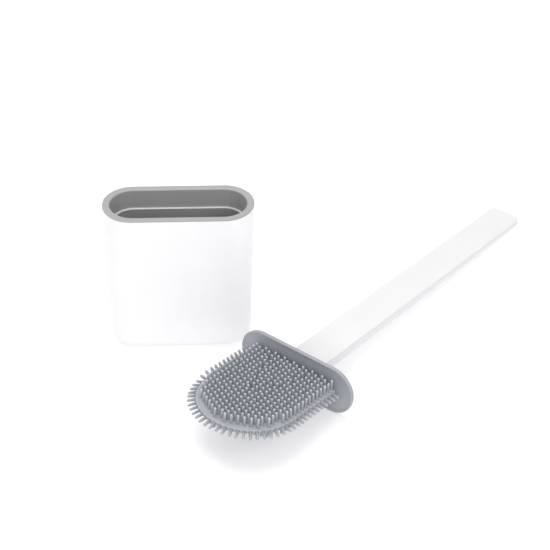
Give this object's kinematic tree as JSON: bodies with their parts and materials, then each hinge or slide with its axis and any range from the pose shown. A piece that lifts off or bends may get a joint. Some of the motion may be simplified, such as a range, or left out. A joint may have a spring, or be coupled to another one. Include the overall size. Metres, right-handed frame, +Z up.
{
  "type": "toilet brush holder",
  "caption": "Oval white holder with a grey lift-out liner, and a flat silicone-bristled brush with a white flat handle lying beside it.",
  "frame": {"origin": "centre of the flat underside of the holder, on the floor", "axes": "+Z up, X along the long axis of the holder's oval plan, -Y towards the front where the brush blade lies"},
  "size_m": [0.343, 0.3183, 0.126],
  "materials": {
    "white_plastic": "satin",
    "grey_plastic": "matte",
    "grey_silicone": "matte",
    "pad_rubber": "matte"
  },
  "bodies": {
    "holder": {"holder_shell": "white_plastic", "anti_slip_pad": "pad_rubber"},
    "liner": {"inner_liner": "grey_plastic"},
    "brush_handle": {"handle_back": "white_plastic", "handle_front": "white_plastic"},
    "brush_head": {"collar_plate": "grey_plastic", "collar_skin": "grey_silicone"},
    "blade": {"blade_paddle": "grey_silicone", "bristles_front": "grey_silicone", "bristles_back": "grey_silicone", "bristles_edge": "grey_silicone"}
  },
  "joints": [
    {"name": "liner_lift", "type": "slide", "parent": "holder", "child": "liner", "axis": [0, 0, 1], "range_m": [0, 0.118]},
    {"name": "brush_lift", "type": "slide", "parent": "holder", "child": "brush_handle", "axis": [0, 0, 1], "range_m": [0, 0.15]},
    {"name": "head_pull", "type": "slide", "parent": "brush_handle", "child": "brush_head", "axis": [-0.6483, -0.7591, 0.0582], "range_m": [0, 0.034]},
    {"name": "blade_flex", "type": "hinge", "parent": "brush_head", "child": "blade", "pos_m": [0.08559, -0.07527, 0.0228], "axis": [0.7604, -0.6494, 0], "range_deg": [-12, 12], "stiffness_Nm_per_rad": 0.8}
  ]
}
